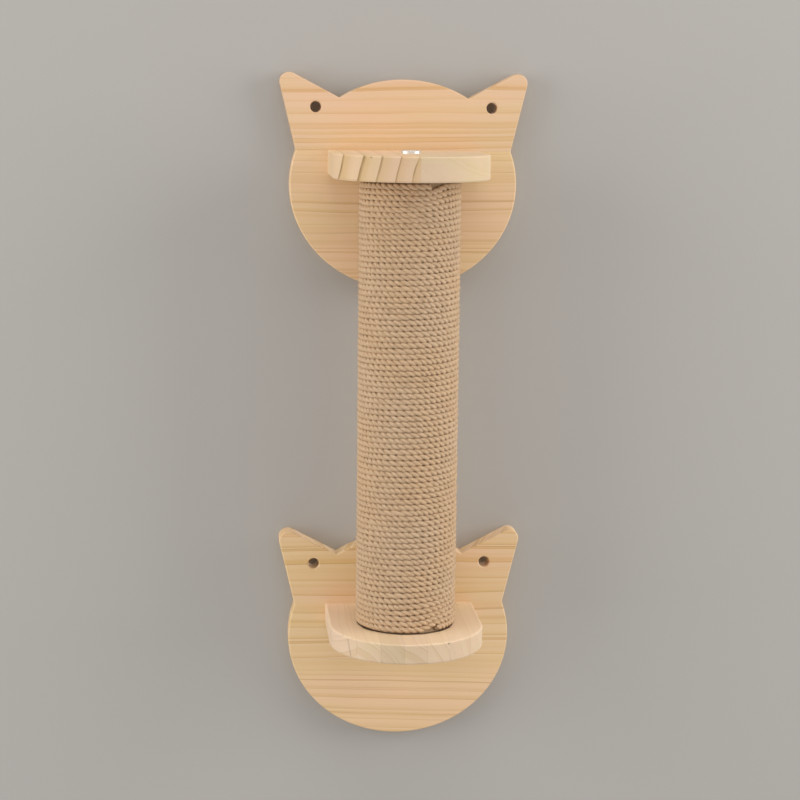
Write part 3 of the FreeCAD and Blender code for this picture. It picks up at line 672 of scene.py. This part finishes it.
def round_post(tree):
    """How far a place is from the post's axis, and its height."""
    spot = new_node(tree, "SeparateXYZ", {0: new_node(tree, "TexCoord").outputs["Object"]}).outputs
    behind = maths(tree, "SUBTRACT", spot["Y"], POST_Y)
    flat = new_node(tree, "CombineXYZ", {0: spot["X"], 1: behind}).outputs[0]
    distance = new_node(tree, "VectorMath", {0: flat}, operation="LENGTH").outputs["Value"]
    return distance, spot["Z"]


def shade_inside(tree, inside, dark):
    """Paints shade into a finished material where the mask inside is."""
    base = tree.nodes["Principled BSDF"].inputs["Base Color"]
    tree.links.new(mixed(tree, inside, base.links[0].from_socket, dark), base)


def paint_foot_shade(shelf, face_z):
    """Painted contact shade on a shelf's face, in the narrow gap at the end of the rope."""
    tree = shelf.node_tree
    distance, height = round_post(tree)
    place = new_node(tree, "TexCoord").outputs["Object"]
    patch = new_node(tree, "TexNoise", {"Vector": place, "Scale": FOOT_PATCH_SCALE}).outputs["Fac"]
    uneven = maths(tree, "SUBTRACT", patch, 0.5)
    distance = maths(tree, "MULTIPLY_ADD", uneven, FOOT_UNEVENNESS, distance)
    reach = POST_RADIUS + FOOT_REACH
    under_rope = ramp(tree, distance, reach - FOOT_EDGE, reach, 1.0, 0.0)
    depth = maths(tree, "ABSOLUTE", maths(tree, "SUBTRACT", height, face_z))
    on_face = maths(tree, "LESS_THAN", depth, FOOT_DEPTH)
    shade_inside(tree, maths(tree, "MULTIPLY", under_rope, on_face), FOOT_SHADE_COLOUR)


tube_low, tube_high = (Vector(corner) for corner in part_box("post_tube"))
POST_Y = (tube_low.y + tube_high.y) / 2.0
POST_RADIUS = (tube_high.x - tube_low.x) / 2.0
finish_node("post_tube", wound_paper("tube_paper"))
# painted shade on both shelves round the post's ends
paint_foot_shade(lower_shelf_pine, tube_low.z)
paint_foot_shade(upper_shelf_pine, tube_high.z)
plug_wood = wooden("plug_wood", "XYZ", INNER_WOOD)
for end in ("upper", "lower"):
    finish_node(end + "_end_plug", plug_wood)

# Rope
# One length of jute rope, 5 mm thick, laid from two strands, glued and wound round the tube by hand.
# Its turns press together. It starts and stops at the front right, with a short climb to the next turn.
ROPE_TURNS = 79
ROPE_LAY = 0.0118
STRANDS = 2
STRAND_RADIUS = 0.00184
STRAND_OFFSET = 0.00102
ROPE_REACH = STRAND_RADIUS + STRAND_OFFSET
ROPE_STAND_OFF = 0.0022
ROPE_PRESS = 1.12
LOWER_GAP = 0.0009
UPPER_GAP = 0.0020
START_ANGLE = math.radians(-55.0)
STOP_ANGLE = math.radians(-70.0)
SHORT_CLIMB = 0.06
LONG_CLIMB = 0.90
EASING_TURNS = 12.0
RINGS_PER_TURN = 300
BACK_RING = round(RINGS_PER_TURN * (math.radians(90.0) - START_ANGLE) / (2.0 * math.pi))
STRAND_SIDES = 8
STRAND_END = 0.75
ROW_MARGIN = 0.04
OUT_DRIFT = {"step": 33, "size": 0.00012, "seed": 6}
UP_DRIFT = {"step": 45, "size": 0.00016, "seed": 5}
TWIST_DRIFT = {"step": 30, "size": 1.7, "seed": 11}
SHORT_LUMPS = {"step": 8, "size": 0.06}
SHORT_LUMPS_SEED = 20
LONG_LUMPS = {"step": 22, "size": 0.08}
LONG_LUMPS_SEED = 30
JUTE = (0.528, 0.353, 0.204, 1.0)
JUTE_PALE = (0.673, 0.491, 0.318, 1.0)
JUTE_DARK = (0.300, 0.177, 0.086, 1.0)
JUTE_WARM = (1.0, 0.97, 0.93, 1.0)
JUTE_COOL = (0.99, 1.0, 1.03, 1.0)
JUTE_TINT_SCALE = 22.0
YARN_FIBRE_SCALE = (5.0, 5.0, 260.0)
YARN_PATCH_SCALE = (0.6, 0.6, 60.0)
FIBRE_ROUGHENING = 0.2
JUTE_ROUGHNESS = 0.68
JUTE_SHEEN = 0.8
JUTE_SHEEN_ROUGHNESS = 0.5
YARN_DEPTH = 0.0005
YARN_RELIEF = 0.6
FUZZ_FIBRES = 9000
FUZZ_SEED = 41
FUZZ_FREE_RINGS = 40
FUZZ_LEAN = 1.25
FUZZ_STRAY = 0.35
FUZZ_LENGTHS = (0.0020, 0.0085)
FUZZ_LIFT_SHAPE = 2.0
FUZZ_LIFT_SIZE = 0.0004
FUZZ_CURL = 0.0012
FUZZ_ROOT = 0.88
FUZZ_CLEARANCE = 0.0006
FUZZ_THICKNESS = (0.000055, 0.000050, 0.000042, 0.000022)
FUZZ_SIDES = 3
FUZZ_SIDEWAYS = (0.31, 0.47, 0.83)
FUZZ_TINT_SCALE = 300.0
FUZZ_ROUGHNESS = 0.6


def smooth(value):
    """Eases from 0 to 1, and stays there outside that range."""
    kept = np.clip(value, 0.0, 1.0)
    return kept * kept * (3.0 - 2.0 * kept)


def wander(count, step, size, seed):
    """A line that drifts smoothly between random values, one every step places."""
    chosen = np.random.default_rng(seed).uniform(-size, size, count // step + 2)
    place = np.arange(count) / step
    low = place.astype(int)
    ease = smooth(place - low)
    return chosen[low] * (1.0 - ease) + chosen[low + 1] * ease


def unit(vectors):
    """Vectors brought to length 1."""
    return vectors / np.linalg.norm(vectors, axis=-1, keepdims=True)


def wound_path():
    """The rope's middle line, its direction, the way out from the post and the way up along it."""
    low = tube_low.z + ROPE_PRESS * ROPE_REACH + LOWER_GAP
    high = tube_high.z - ROPE_PRESS * ROPE_REACH - UPPER_GAP
    last_turn = 1.0 + (STOP_ANGLE - START_ANGLE) / (2.0 * math.pi)
    count = int((ROPE_TURNS + last_turn) * RINGS_PER_TURN) + 1
    turn = np.arange(count) / RINGS_PER_TURN
    angle = START_ANGLE + 2.0 * math.pi * turn
    out = np.stack([np.cos(angle), np.sin(angle), np.zeros(count)], axis=1)
    middle = (POST_RADIUS + ROPE_STAND_OFF + wander(count, **OUT_DRIFT))[:, None] * out
    middle[:, 1] += POST_Y

    # near the post's ends the turns lie level and climb in a short step, further in they climb all round
    from_end = np.minimum(turn, turn[-1] - turn) / EASING_TURNS
    climb = SHORT_CLIMB + (LONG_CLIMB - SHORT_CLIMB) * smooth(from_end)
    climb_middle = np.linspace(1.0 - SHORT_CLIMB / 2.0, last_turn + SHORT_CLIMB / 2.0, count)
    step = turn - climb_middle + 0.5
    level = np.floor(step)
    rise = level + smooth((step - level - 0.5) / climb + 0.5)
    drift = wander(count, **UP_DRIFT) * np.sin(np.linspace(0.0, math.pi, count))
    middle[:, 2] = low + (high - low) * rise / ROPE_TURNS + drift
    along = unit(np.gradient(middle, axis=0))
    return middle, along, out, np.cross(along, out)


def lay_strand(number):
    """The rings of points of one strand, a tube that twists round the rope's middle line."""
    count = len(rope_middle)
    twist = 2.0 * math.pi * (rope_run / ROPE_LAY + number / STRANDS) + wander(count, **TWIST_DRIFT)
    outward = np.cos(twist)[:, None] * rope_out + ROPE_PRESS * np.sin(twist)[:, None] * rope_up
    centre = rope_middle + STRAND_OFFSET * outward
    direction = unit(np.gradient(centre, axis=0))
    sideways = unit(np.cross(direction, outward))
    outward = np.cross(sideways, direction)
    short_lumps = wander(count, seed=SHORT_LUMPS_SEED + number, **SHORT_LUMPS)
    long_lumps = wander(count, seed=LONG_LUMPS_SEED + number, **LONG_LUMPS)
    thick = STRAND_RADIUS * (1.0 + short_lumps + long_lumps)
    thick[[0, -1]] *= STRAND_END
    round_angle = np.arange(STRAND_SIDES) * 2.0 * math.pi / STRAND_SIDES
    section = np.cos(round_angle)[:, None] * outward[:, None]
    section = section + np.sin(round_angle)[:, None] * sideways[:, None]
    return centre[:, None] + thick[:, None, None] * section


def strand_length(name, points, run):
    """A length of a strand as a piece, closed at both ends, with maps for its yarn."""
    count = len(points)
    faces = tube_faces(count, STRAND_SIDES)
    caps = tube_caps(count, STRAND_SIDES)
    piece = new_piece(name, points, faces + caps)

    # one map follows the yarn, in metres along it, and one lays the turns out in rows
    ring, side = np.divmod(np.arange(len(faces)), STRAND_SIDES)
    ring = ring[:, None] + np.array([0, 0, 1, 1])
    side = side[:, None] + np.array([0, 1, 1, 0])
    cap_corners = np.zeros((len(caps) * STRAND_SIDES, 2))
    yarn = np.stack([run[ring], side / STRAND_SIDES], axis=-1).reshape(-1, 2)
    row = ring[:, :1] // RINGS_PER_TURN
    rows = count // RINGS_PER_TURN + 1
    level = (row + ROW_MARGIN + (1.0 - 2.0 * ROW_MARGIN) * side / STRAND_SIDES) / rows
    spread = np.stack([ring / RINGS_PER_TURN - row, level], axis=-1).reshape(-1, 2)
    for label, corners in (("OFBake", spread), ("yarn", yarn)):
        layer = piece.data.uv_layers.new(name=label)
        corners = np.concatenate([corners, cap_corners]).astype(np.float32)
        layer.uv.foreach_set("vector", corners.ravel())
    return piece


def strand_pieces(number):
    """One strand in two lengths, which meet at the back of the post."""
    points = lay_strand(number)
    meet = (len(points) // 2 // RINGS_PER_TURN) * RINGS_PER_TURN + BACK_RING
    name = "rope_strand_%d_" % (number + 1)
    return [
        strand_length(name + "lower", points[:meet + 1], rope_run[:meet + 1]),
        strand_length(name + "upper", points[meet:], rope_run[meet:]),
    ]


def loose_fibres():
    """Short stray fibres that stand off the rope, each a thin curved three-sided tube."""
    chance = np.random.default_rng(FUZZ_SEED)
    start = chance.integers(FUZZ_FREE_RINGS, len(rope_middle) - FUZZ_FREE_RINGS, FUZZ_FIBRES)
    lean = chance.uniform(-FUZZ_LEAN, FUZZ_LEAN, FUZZ_FIBRES)
    outward = np.cos(lean)[:, None] * rope_out[start] + np.sin(lean)[:, None] * rope_up[start]
    way = chance.choice([-1.0, 1.0], FUZZ_FIBRES)[:, None] * rope_along[start]
    way = unit(way + chance.normal(0.0, FUZZ_STRAY, (FUZZ_FIBRES, 3)))
    length = chance.uniform(*FUZZ_LENGTHS, FUZZ_FIBRES)[:, None]
    lift = chance.gamma(FUZZ_LIFT_SHAPE, FUZZ_LIFT_SIZE, FUZZ_FIBRES)[:, None]
    curl = chance.normal(0.0, FUZZ_CURL, (FUZZ_FIBRES, 3))
    root = rope_middle[start] + outward * ROPE_REACH * FUZZ_ROOT
    steps = np.linspace(0.0, 1.0, len(FUZZ_THICKNESS))
    line = [root + way * length * t + outward * lift * (2.0 * t - t * t) + curl * t * t for t in steps]
    line = np.stack(line, axis=1)
    low = tube_low.z + FUZZ_CLEARANCE
    high = tube_high.z - FUZZ_CLEARANCE
    kept = ((line[:, :, 2] > low) & (line[:, :, 2] < high)).all(axis=1)
    line = line[kept]
    direction = unit(np.gradient(line, axis=1))
    first = unit(np.cross(direction, np.array(FUZZ_SIDEWAYS)))
    second = np.cross(direction, first)
    thick = np.array(FUZZ_THICKNESS)[None, :, None]
    angles = np.arange(FUZZ_SIDES) * 2.0 * math.pi / FUZZ_SIDES
    corners = [math.cos(angle) * first + math.sin(angle) * second for angle in angles]
    points = np.stack([line + thick * corner for corner in corners], axis=2)
    one = tube_faces(len(steps), FUZZ_SIDES) + tube_caps(len(steps), FUZZ_SIDES)
    corner_count = FUZZ_SIDES * len(steps)
    shifts = range(0, corner_count * len(line), corner_count)
    faces = [[corner + shift for corner in face] for shift in shifts for face in one]
    return new_piece("rope_fuzz", points, faces)


def jute_material(name):
    """Jute yarn: fibres that run with the rope, pale and dark ones mixed, and a dry dull surface."""
    material, tree, shader = new_material(name)
    run = new_node(tree, "UVMap", uv_map="yarn").outputs["UV"]
    spot = new_node(tree, "SeparateXYZ", {0: run}).outputs
    turn = maths(tree, "MULTIPLY_ADD", spot["X"], -1.0 / ROPE_LAY, spot["Y"])
    angle = maths(tree, "MULTIPLY", turn, 2.0 * math.pi)
    ring = {0: maths(tree, "COSINE", angle), 1: maths(tree, "SINE", angle), 2: spot["X"]}
    yarn = new_node(tree, "CombineXYZ", ring).outputs[0]
    fibre = stretched_noise(tree, yarn, YARN_FIBRE_SCALE, 3.0, 1.0)
    patch = stretched_noise(tree, yarn, YARN_PATCH_SCALE, 2.0, 2.0)
    place = new_node(tree, "TexCoord").outputs["Object"]
    reach = new_node(tree, "TexNoise", {"Vector": place, "Scale": JUTE_TINT_SCALE}).outputs["Fac"]
    rough = maths(tree, "MULTIPLY_ADD", fibre, FIBRE_ROUGHENING, JUTE_ROUGHNESS)
    colour = mixed(tree, ramp(tree, fibre, 0.30, 0.70), JUTE, JUTE_PALE)
    colour = mixed(tree, ramp(tree, patch, 0.50, 0.85, 0.0, 0.5), colour, JUTE_DARK)
    tint = mixed(tree, ramp(tree, reach, 0.3, 0.7), JUTE_WARM, JUTE_COOL)
    colour = mixed(tree, 1.0, colour, tint, "MULTIPLY")
    tree.links.new(colour, shader.inputs["Base Color"])
    tree.links.new(rough, shader.inputs["Roughness"])
    shader.inputs["Sheen Weight"].default_value = JUTE_SHEEN
    shader.inputs["Sheen Tint"].default_value = JUTE_PALE
    shader.inputs["Sheen Roughness"].default_value = JUTE_SHEEN_ROUGHNESS
    raise_surface(tree, shader, fibre, YARN_DEPTH, YARN_RELIEF)
    return material


def fuzz_material(name):
    """Stray jute fibres, paler than the rope because light comes through them."""
    material, tree, shader = new_material(name)
    place = new_node(tree, "TexCoord").outputs["Object"]
    chance = new_node(tree, "TexNoise", {"Vector": place, "Scale": FUZZ_TINT_SCALE}).outputs["Fac"]
    colour = mixed(tree, ramp(tree, chance, 0.35, 0.65), JUTE, JUTE_PALE)
    rough = maths(tree, "MULTIPLY_ADD", chance, FIBRE_ROUGHENING, FUZZ_ROUGHNESS)
    tree.links.new(colour, shader.inputs["Base Color"])
    tree.links.new(rough, shader.inputs["Roughness"])
    return material


rope_middle, rope_along, rope_out, rope_up = wound_path()
rope_steps = np.linalg.norm(np.diff(rope_middle, axis=0), axis=1)
rope_run = np.concatenate([[0.0], np.cumsum(rope_steps)])
jute = jute_material("jute_yarn")
rope_pieces = [piece for number in range(STRANDS) for piece in strand_pieces(number)]
for piece in rope_pieces:
    piece.data.materials.append(jute)
rope_fuzz = loose_fibres()
rope_fuzz.data.materials.append(fuzz_material("jute_fuzz"))
for piece in (*rope_pieces, rope_fuzz):
    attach(piece, "root")
    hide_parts("rope_winding")

# Post bolts
# Two bright nickel-plated M8 bolts with flat round heads and a hex socket, with painted shade inside it.
# Each goes through a shelf into the nut in the post's plug, and pulls the post tight.
NICKEL = (0.930, 0.925, 0.910, 1.0)
NICKEL_DULL = (0.820, 0.815, 0.795, 1.0)
NICKEL_ROUGHNESS = 0.26
NICKEL_BLOOM_SIZE = 0.006
NICKEL_RUBBED_DEPTH = 0.00002
SOCKET_RADIUS = 0.0030
SOCKET_SHADE_DEPTH = 0.0012
UPPER_HEAD_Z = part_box("upper_post_bolt")[1][2]
LOWER_HEAD_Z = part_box("lower_post_bolt")[0][2]


def nearest(tree, value, places):
    """How far a value is from the nearer of two places."""
    ways = [maths(tree, "ABSOLUTE", maths(tree, "SUBTRACT", value, place)) for place in places]
    return maths(tree, "MINIMUM", *ways)


def paint_socket_shade(material):
    """Paints shade into a bolt's plating inside its socket, the more the deeper."""
    tree = material.node_tree
    distance, height = round_post(tree)
    deep = ramp(tree, nearest(tree, height, (UPPER_HEAD_Z, LOWER_HEAD_Z)), 0.0, SOCKET_SHADE_DEPTH)
    in_socket = maths(tree, "LESS_THAN", distance, SOCKET_RADIUS)
    shade_inside(tree, maths(tree, "MULTIPLY", in_socket, deep), RECESS_SHADE)


bolt_finish = {
    "Bright": NICKEL,
    "Dull": NICKEL_DULL,
    "Base Roughness": NICKEL_ROUGHNESS,
    "Bloom Size": NICKEL_BLOOM_SIZE,
}
bolt_steel = plated("bolt_nickel", bolt_finish, NICKEL_RUBBED_DEPTH)
# painted shade inside the bolts' sockets
paint_socket_shade(bolt_steel)
for end in ("upper", "lower"):
    finish_node(end + "_post_bolt", bolt_steel)

# Wall, lamps and camera
# The plates lie flat on a plain pale wall, which shows only from its front.
# Broad soft lamps stand right and left of it and above, and a pale room lights the rest.
WALL_COLOUR = (0.410, 0.393, 0.370, 1.0)
WALL_REACH = 30.0
WALL_BEHIND = 0.0004
WALL_CLOUD_SCALE = 1.2
WALL_PALER = 1.04
WALL_ROUGHNESS = 0.9
WALL_GLOSS = 0.2
ROOM_COLOUR = (0.780, 0.775, 0.765, 1.0)
ROOM_LIGHT = 0.83
CAMERA_PLACE = Vector((-0.16927, -1.85172, 0.23900))
CAMERA_YAW = 0.0916
CAMERA_PITCH = 0.1592
CAMERA_ROLL = 0.0112
CAMERA_LENS = 90.77
CAMERA_SENSOR = 36.0
LAMP_WARM = (1.0, 0.985, 0.965)
LAMP_PALE = (1.0, 0.99, 0.98)
LAMP_WHITE = (1.0, 1.0, 1.0)
LAMPS = {
    "right_lamp": {"place": (2.03, -0.74, 0.50), "size": 1.4, "power": 29.0, "colour": LAMP_WARM},
    "left_lamp": {"place": (-2.03, -0.74, 0.30), "size": 1.6, "power": 27.0, "colour": LAMP_PALE},
    "top_lamp": {"place": (0.10, -1.00, 2.00), "size": 1.6, "power": 10.0, "colour": LAMP_PALE},
    "back_lamp": {"place": (0.50, 1.80, 0.00), "size": 1.6, "power": 30.0, "colour": LAMP_WHITE},
}


def wall_material():
    """Matt paint with a faint roller texture, clear from behind."""
    material, tree, shader = new_material("wall_paint")
    place = new_node(tree, "TexCoord").outputs["Object"]
    inputs = {"Vector": place, "Scale": WALL_CLOUD_SCALE, "Detail": 2.0}
    cloud = new_node(tree, "TexNoise", inputs).outputs["Fac"]
    pale = tuple(part * WALL_PALER for part in WALL_COLOUR[:3]) + (1.0,)
    tree.links.new(mixed(tree, cloud, WALL_COLOUR, pale), shader.inputs["Base Color"])
    shader.inputs["Roughness"].default_value = WALL_ROUGHNESS
    shader.inputs["Specular IOR Level"].default_value = WALL_GLOSS
    clear = new_node(tree, "BsdfTransparent").outputs[0]
    back = new_node(tree, "NewGeometry").outputs["Backfacing"]
    shown = new_node(tree, "MixShader", {0: back, 1: shader.outputs[0], 2: clear}).outputs[0]
    tree.links.new(shown, tree.nodes["Material Output"].inputs["Surface"])
    return material


def hang_wall():
    """The wall, facing the room."""
    ends = (-WALL_REACH, WALL_REACH)
    corners = np.array([(x, WALL_BEHIND, z) for z in ends for x in ends])
    wall = new_piece("wall", corners, [(0, 1, 3, 2)])
    wall.data.materials.append(wall_material())
    wall.visible_shadow = False


def hang_lamp(name, place, size, power, colour):
    """A square soft lamp that points at the middle of the object."""
    light = bpy.data.lights.new(name, "AREA")
    light.size = size
    light.energy = power
    light.color = colour
    lamp = bpy.data.objects.new(name, light)
    lamp.location = place
    aim = (sum((Vector(corner) for corner in cad_box), Vector()) / 2.0) - Vector(place)
    lamp.rotation_euler = aim.to_track_quat("-Z", "Y").to_euler()
    bpy.context.scene.collection.objects.link(lamp)


def set_camera():
    """The camera at the photograph's place, turned down and a little to the right."""
    ahead = Vector((
        math.sin(CAMERA_YAW) * math.cos(CAMERA_PITCH),
        math.cos(CAMERA_YAW) * math.cos(CAMERA_PITCH),
        -math.sin(CAMERA_PITCH),
    ))
    right = Vector((math.cos(CAMERA_YAW), -math.sin(CAMERA_YAW), 0.0))
    up = right.cross(ahead)
    tilted_right = right * math.cos(CAMERA_ROLL) + up * math.sin(CAMERA_ROLL)
    tilted_up = up * math.cos(CAMERA_ROLL) - right * math.sin(CAMERA_ROLL)
    data = bpy.data.cameras.new("camera")
    data.lens = CAMERA_LENS
    data.sensor_width = CAMERA_SENSOR
    camera = bpy.data.objects.new("camera", data)
    turned = Matrix((tilted_right, tilted_up, -ahead)).transposed().to_4x4()
    camera.matrix_world = Matrix.Translation(CAMERA_PLACE) @ turned
    bpy.context.scene.collection.objects.link(camera)
    bpy.context.scene.camera = camera


hang_wall()
for lamp_name, lamp in LAMPS.items():
    hang_lamp(lamp_name, **lamp)
world = bpy.data.worlds.new("room")
world.use_nodes = True
background = world.node_tree.nodes["Background"]
background.inputs["Color"].default_value = ROOM_COLOUR
background.inputs["Strength"].default_value = ROOM_LIGHT
bpy.context.scene.world = world
bpy.context.scene.view_settings.view_transform = "Standard"
set_camera()
